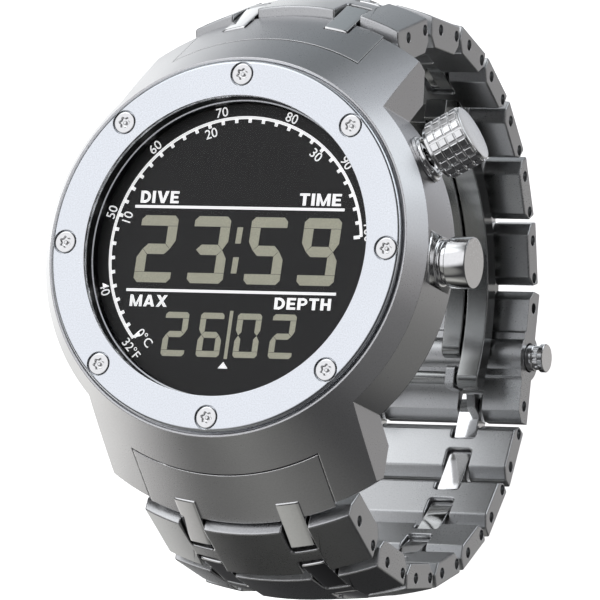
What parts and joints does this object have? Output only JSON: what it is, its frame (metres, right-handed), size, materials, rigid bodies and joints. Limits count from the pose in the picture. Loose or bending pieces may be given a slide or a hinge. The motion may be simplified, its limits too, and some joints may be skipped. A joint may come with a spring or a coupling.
{
  "type": "dive computer",
  "caption": "Round wrist dive computer with a screwed bezel, crown, pusher and a steel link bracelet with a folding clasp.",
  "frame": {"origin": "centre of the caseback's outer flat face, where the watch lies on the wrist", "axes": "+Z out of the dial, +Y to 12 o'clock, +X to 3 o'clock, where the pusher is"},
  "size_m": [0.0517, 0.071, 0.0658],
  "materials": {
    "blasted_steel": "bead-blasted satin",
    "satin_steel": "bright satin",
    "polished_steel": "mirror polish",
    "crystal": "clear",
    "dial_black": "black",
    "seal_rubber": "matt",
    "board_green": "solder mask"
  },
  "bodies": {
    "case": {"case_body": "blasted_steel", "bezel_ring": "satin_steel", "bezel_screw_1": "polished_steel", "bezel_screw_2": "polished_steel", "bezel_screw_3": "polished_steel", "bezel_screw_4": "polished_steel", "bezel_screw_5": "polished_steel", "bezel_screw_6": "polished_steel", "bezel_screw_7": "polished_steel", "bezel_screw_8": "polished_steel", "crystal": "crystal", "crystal_gasket": "seal_rubber", "display_module": "dial_black", "circuit_board": "board_green", "battery": "polished_steel", "buzzer": "satin_steel", "pressure_sensor": "satin_steel", "caseback": "satin_steel", "caseback_gasket": "seal_rubber", "crown_tube": "polished_steel", "pusher_tube": "polished_steel", "end_link_upper": "blasted_steel", "end_link_lower": "blasted_steel"},
    "crown_slide": {"crown_stem": "polished_steel"},
    "crown": {"crown_knob": "polished_steel"},
    "pusher": {"pusher": "polished_steel"},
    "connector_u1": {"connector_u1": "polished_steel"},
    "link_u1": {"link_u1": "blasted_steel"},
    "connector_u2": {"connector_u2": "polished_steel"},
    "link_u2": {"link_u2": "blasted_steel"},
    "connector_u3": {"connector_u3": "polished_steel"},
    "link_u3": {"link_u3": "blasted_steel"},
    "connector_u4": {"connector_u4": "polished_steel"},
    "link_u4": {"link_u4": "blasted_steel"},
    "connector_u5": {"connector_u5": "polished_steel"},
    "link_u5": {"link_u5": "blasted_steel"},
    "connector_u6": {"connector_u6": "polished_steel"},
    "link_u6": {"link_u6": "blasted_steel"},
    "connector_u7": {"connector_u7": "polished_steel"},
    "link_u7": {"link_u7": "blasted_steel"},
    "connector_l1": {"connector_l1": "polished_steel"},
    "link_l1": {"link_l1": "blasted_steel"},
    "connector_l2": {"connector_l2": "polished_steel"},
    "link_l2": {"link_l2": "blasted_steel"},
    "connector_l3": {"connector_l3": "polished_steel"},
    "link_l3": {"link_l3": "blasted_steel"},
    "connector_l4": {"connector_l4": "polished_steel"},
    "link_l4": {"link_l4": "blasted_steel"},
    "connector_l5": {"connector_l5": "polished_steel"},
    "link_l5": {"link_l5": "blasted_steel"},
    "connector_l6": {"connector_l6": "polished_steel"},
    "link_l6": {"link_l6": "blasted_steel"},
    "connector_l7": {"connector_l7": "polished_steel"},
    "link_l7": {"link_l7": "blasted_steel"},
    "connector_l8": {"connector_l8": "polished_steel"},
    "clasp_cover": {"clasp_cover": "blasted_steel"},
    "clasp_tongue_blade": {"clasp_tongue_blade": "polished_steel"},
    "clasp_frame_blade": {"clasp_frame_blade": "polished_steel"},
    "clasp_button_right": {"clasp_button_right": "polished_steel"},
    "clasp_button_left": {"clasp_button_left": "polished_steel"}
  },
  "joints": [
    {"name": "crown_press", "type": "slide", "parent": "case", "child": "crown_slide", "axis": [-0.866, -0.5, 0], "range_m": [0, 0.0005], "stiffness_N_per_m": 4000, "springref_m": -0.0005},
    {"name": "crown_turn", "type": "hinge", "parent": "crown_slide", "child": "crown", "pos_m": [0.02182, 0.0126, 0.0067], "axis": [0.866, 0.5, 0], "continuous": true},
    {"name": "pusher_press", "type": "slide", "parent": "case", "child": "pusher", "axis": [-1, 0, 0], "range_m": [0, 0.0005], "stiffness_N_per_m": 4000, "springref_m": -0.0005},
    {"name": "bracelet_unfold", "type": "hinge", "parent": "case", "child": "connector_u1", "pos_m": [0, 0.026, 0.0009], "axis": [1, 0, 0], "range_deg": [0, 3.5]},
    {"name": "hinge_link_u1", "type": "hinge", "parent": "connector_u1", "child": "link_u1", "pos_m": [0, 0.02844, -0.003], "axis": [1, 0, 0], "range_deg": [0, 3.51]},
    {"name": "hinge_connector_u2", "type": "hinge", "parent": "link_u1", "child": "connector_u2", "pos_m": [0, 0.03043, -0.00759], "axis": [1, 0, 0], "range_deg": [0, 3.51]},
    {"name": "hinge_link_u2", "type": "hinge", "parent": "connector_u2", "child": "link_u2", "pos_m": [0, 0.03157, -0.01225], "axis": [1, 0, 0], "range_deg": [0, 3.51]},
    {"name": "hinge_connector_u3", "type": "hinge", "parent": "link_u2", "child": "connector_u3", "pos_m": [0, 0.03199, -0.01703], "axis": [1, 0, 0], "range_deg": [0, 3.51]},
    {"name": "hinge_link_u3", "type": "hinge", "parent": "connector_u3", "child": "link_u3", "pos_m": [0, 0.03188, -0.02108], "axis": [1, 0, 0], "range_deg": [0, 3.51]},
    {"name": "hinge_connector_u4", "type": "hinge", "parent": "link_u3", "child": "connector_u4", "pos_m": [0, 0.03107, -0.0253], "axis": [1, 0, 0], "range_deg": [0, 3.51]},
    {"name": "hinge_link_u4", "type": "hinge", "parent": "connector_u4", "child": "link_u4", "pos_m": [0, 0.02989, -0.02876], "axis": [1, 0, 0], "range_deg": [0, 3.51]},
    {"name": "hinge_connector_u5", "type": "hinge", "parent": "link_u4", "child": "connector_u5", "pos_m": [0, 0.02806, -0.03287], "axis": [1, 0, 0], "range_deg": [0, 3.51]},
    {"name": "hinge_link_u5", "type": "hinge", "parent": "connector_u5", "child": "link_u5", "pos_m": [0, 0.02615, -0.03598], "axis": [1, 0, 0], "range_deg": [0, 3.51]},
    {"name": "hinge_connector_u6", "type": "hinge", "parent": "link_u5", "child": "connector_u6", "pos_m": [0, 0.02336, -0.03951], "axis": [1, 0, 0], "range_deg": [0, 3.51]},
    {"name": "hinge_link_u6", "type": "hinge", "parent": "connector_u6", "child": "link_u6", "pos_m": [0, 0.02076, -0.04207], "axis": [1, 0, 0], "range_deg": [0, 3.51]},
    {"name": "hinge_connector_u7", "type": "hinge", "parent": "link_u6", "child": "connector_u7", "pos_m": [0, 0.01697, -0.04459], "axis": [1, 0, 0], "range_deg": [0, 3.51]},
    {"name": "hinge_link_u7", "type": "hinge", "parent": "connector_u7", "child": "link_u7", "pos_m": [0, 0.01383, -0.04645], "axis": [1, 0, 0], "range_deg": [0, 3.51]},
    {"name": "hinge_connector_l1", "type": "hinge", "parent": "case", "child": "connector_l1", "pos_m": [0, -0.026, 0.0009], "axis": [-1, 0, 0], "range_deg": [0, 3.51]},
    {"name": "hinge_link_l1", "type": "hinge", "parent": "connector_l1", "child": "link_l1", "pos_m": [0, -0.02844, -0.003], "axis": [-1, 0, 0], "range_deg": [0, 3.51]},
    {"name": "hinge_connector_l2", "type": "hinge", "parent": "link_l1", "child": "connector_l2", "pos_m": [0, -0.03043, -0.00759], "axis": [-1, 0, 0], "range_deg": [0, 3.51]},
    {"name": "hinge_link_l2", "type": "hinge", "parent": "connector_l2", "child": "link_l2", "pos_m": [0, -0.03157, -0.01225], "axis": [-1, 0, 0], "range_deg": [0, 3.51]},
    {"name": "hinge_connector_l3", "type": "hinge", "parent": "link_l2", "child": "connector_l3", "pos_m": [0, -0.03199, -0.01703], "axis": [-1, 0, 0], "range_deg": [0, 3.51]},
    {"name": "hinge_link_l3", "type": "hinge", "parent": "connector_l3", "child": "link_l3", "pos_m": [0, -0.03188, -0.02108], "axis": [-1, 0, 0], "range_deg": [0, 3.51]},
    {"name": "hinge_connector_l4", "type": "hinge", "parent": "link_l3", "child": "connector_l4", "pos_m": [0, -0.03107, -0.0253], "axis": [-1, 0, 0], "range_deg": [0, 3.51]},
    {"name": "hinge_link_l4", "type": "hinge", "parent": "connector_l4", "child": "link_l4", "pos_m": [0, -0.02989, -0.02876], "axis": [-1, 0, 0], "range_deg": [0, 3.51]},
    {"name": "hinge_connector_l5", "type": "hinge", "parent": "link_l4", "child": "connector_l5", "pos_m": [0, -0.02806, -0.03287], "axis": [-1, 0, 0], "range_deg": [0, 3.51]},
    {"name": "hinge_link_l5", "type": "hinge", "parent": "connector_l5", "child": "link_l5", "pos_m": [0, -0.02615, -0.03598], "axis": [-1, 0, 0], "range_deg": [0, 3.51]},
    {"name": "hinge_connector_l6", "type": "hinge", "parent": "link_l5", "child": "connector_l6", "pos_m": [0, -0.02336, -0.03951], "axis": [-1, 0, 0], "range_deg": [0, 3.51]},
    {"name": "hinge_link_l6", "type": "hinge", "parent": "connector_l6", "child": "link_l6", "pos_m": [0, -0.02076, -0.04207], "axis": [-1, 0, 0], "range_deg": [0, 3.51]},
    {"name": "hinge_connector_l7", "type": "hinge", "parent": "link_l6", "child": "connector_l7", "pos_m": [0, -0.01697, -0.04459], "axis": [-1, 0, 0], "range_deg": [0, 3.51]},
    {"name": "hinge_link_l7", "type": "hinge", "parent": "connector_l7", "child": "link_l7", "pos_m": [0, -0.01383, -0.04645], "axis": [-1, 0, 0], "range_deg": [0, 3.51]},
    {"name": "hinge_connector_l8", "type": "hinge", "parent": "link_l7", "child": "connector_l8", "pos_m": [0, -0.00956, -0.04804], "axis": [-1, 0, 0], "range_deg": [0, 3.51]},
    {"name": "hinge_clasp_cover", "type": "hinge", "parent": "connector_l8", "child": "clasp_cover", "pos_m": [0, -0.00599, -0.0488], "axis": [-1, 0, 0], "range_deg": [0, 3.51]},
    {"name": "clasp_unfold", "type": "hinge", "parent": "link_u7", "child": "clasp_tongue_blade", "pos_m": [0, 0.00956, -0.04804], "axis": [1, 0, 0], "range_deg": [0, 86.01]},
    {"name": "hinge_clasp_frame_blade", "type": "hinge", "parent": "clasp_cover", "child": "clasp_frame_blade", "pos_m": [0, -0.0037, -0.0438], "axis": [1, 0, 0], "range_deg": [0, 22.01]},
    {"name": "button_press_right", "type": "slide", "parent": "clasp_cover", "child": "clasp_button_right", "axis": [-1, 0, 0], "range_m": [0, 0.001], "stiffness_N_per_m": 1500, "springref_m": -0.0005},
    {"name": "button_press_left", "type": "slide", "parent": "clasp_cover", "child": "clasp_button_left", "axis": [1, 0, 0], "range_m": [0, 0.001], "stiffness_N_per_m": 1500, "springref_m": -0.0005}
  ],
  "couplings": [
    {"joint": "hinge_link_u1", "follows": "bracelet_unfold", "ratio": 1},
    {"joint": "hinge_connector_u2", "follows": "bracelet_unfold", "ratio": 1},
    {"joint": "hinge_link_u2", "follows": "bracelet_unfold", "ratio": 1},
    {"joint": "hinge_connector_u3", "follows": "bracelet_unfold", "ratio": 1},
    {"joint": "hinge_link_u3", "follows": "bracelet_unfold", "ratio": 1},
    {"joint": "hinge_connector_u4", "follows": "bracelet_unfold", "ratio": 1},
    {"joint": "hinge_link_u4", "follows": "bracelet_unfold", "ratio": 1},
    {"joint": "hinge_connector_u5", "follows": "bracelet_unfold", "ratio": 1},
    {"joint": "hinge_link_u5", "follows": "bracelet_unfold", "ratio": 1},
    {"joint": "hinge_connector_u6", "follows": "bracelet_unfold", "ratio": 1},
    {"joint": "hinge_link_u6", "follows": "bracelet_unfold", "ratio": 1},
    {"joint": "hinge_connector_u7", "follows": "bracelet_unfold", "ratio": 1},
    {"joint": "hinge_link_u7", "follows": "bracelet_unfold", "ratio": 1},
    {"joint": "hinge_connector_l1", "follows": "bracelet_unfold", "ratio": 1},
    {"joint": "hinge_link_l1", "follows": "bracelet_unfold", "ratio": 1},
    {"joint": "hinge_connector_l2", "follows": "bracelet_unfold", "ratio": 1},
    {"joint": "hinge_link_l2", "follows": "bracelet_unfold", "ratio": 1},
    {"joint": "hinge_connector_l3", "follows": "bracelet_unfold", "ratio": 1},
    {"joint": "hinge_link_l3", "follows": "bracelet_unfold", "ratio": 1},
    {"joint": "hinge_connector_l4", "follows": "bracelet_unfold", "ratio": 1},
    {"joint": "hinge_link_l4", "follows": "bracelet_unfold", "ratio": 1},
    {"joint": "hinge_connector_l5", "follows": "bracelet_unfold", "ratio": 1},
    {"joint": "hinge_link_l5", "follows": "bracelet_unfold", "ratio": 1},
    {"joint": "hinge_connector_l6", "follows": "bracelet_unfold", "ratio": 1},
    {"joint": "hinge_link_l6", "follows": "bracelet_unfold", "ratio": 1},
    {"joint": "hinge_connector_l7", "follows": "bracelet_unfold", "ratio": 1},
    {"joint": "hinge_link_l7", "follows": "bracelet_unfold", "ratio": 1},
    {"joint": "hinge_connector_l8", "follows": "bracelet_unfold", "ratio": 1},
    {"joint": "hinge_clasp_cover", "follows": "bracelet_unfold", "ratio": 1},
    {"joint": "clasp_unfold", "follows": "bracelet_unfold", "ratio": 24.571},
    {"joint": "hinge_clasp_frame_blade", "follows": "bracelet_unfold", "ratio": 6.2857}
  ]
}
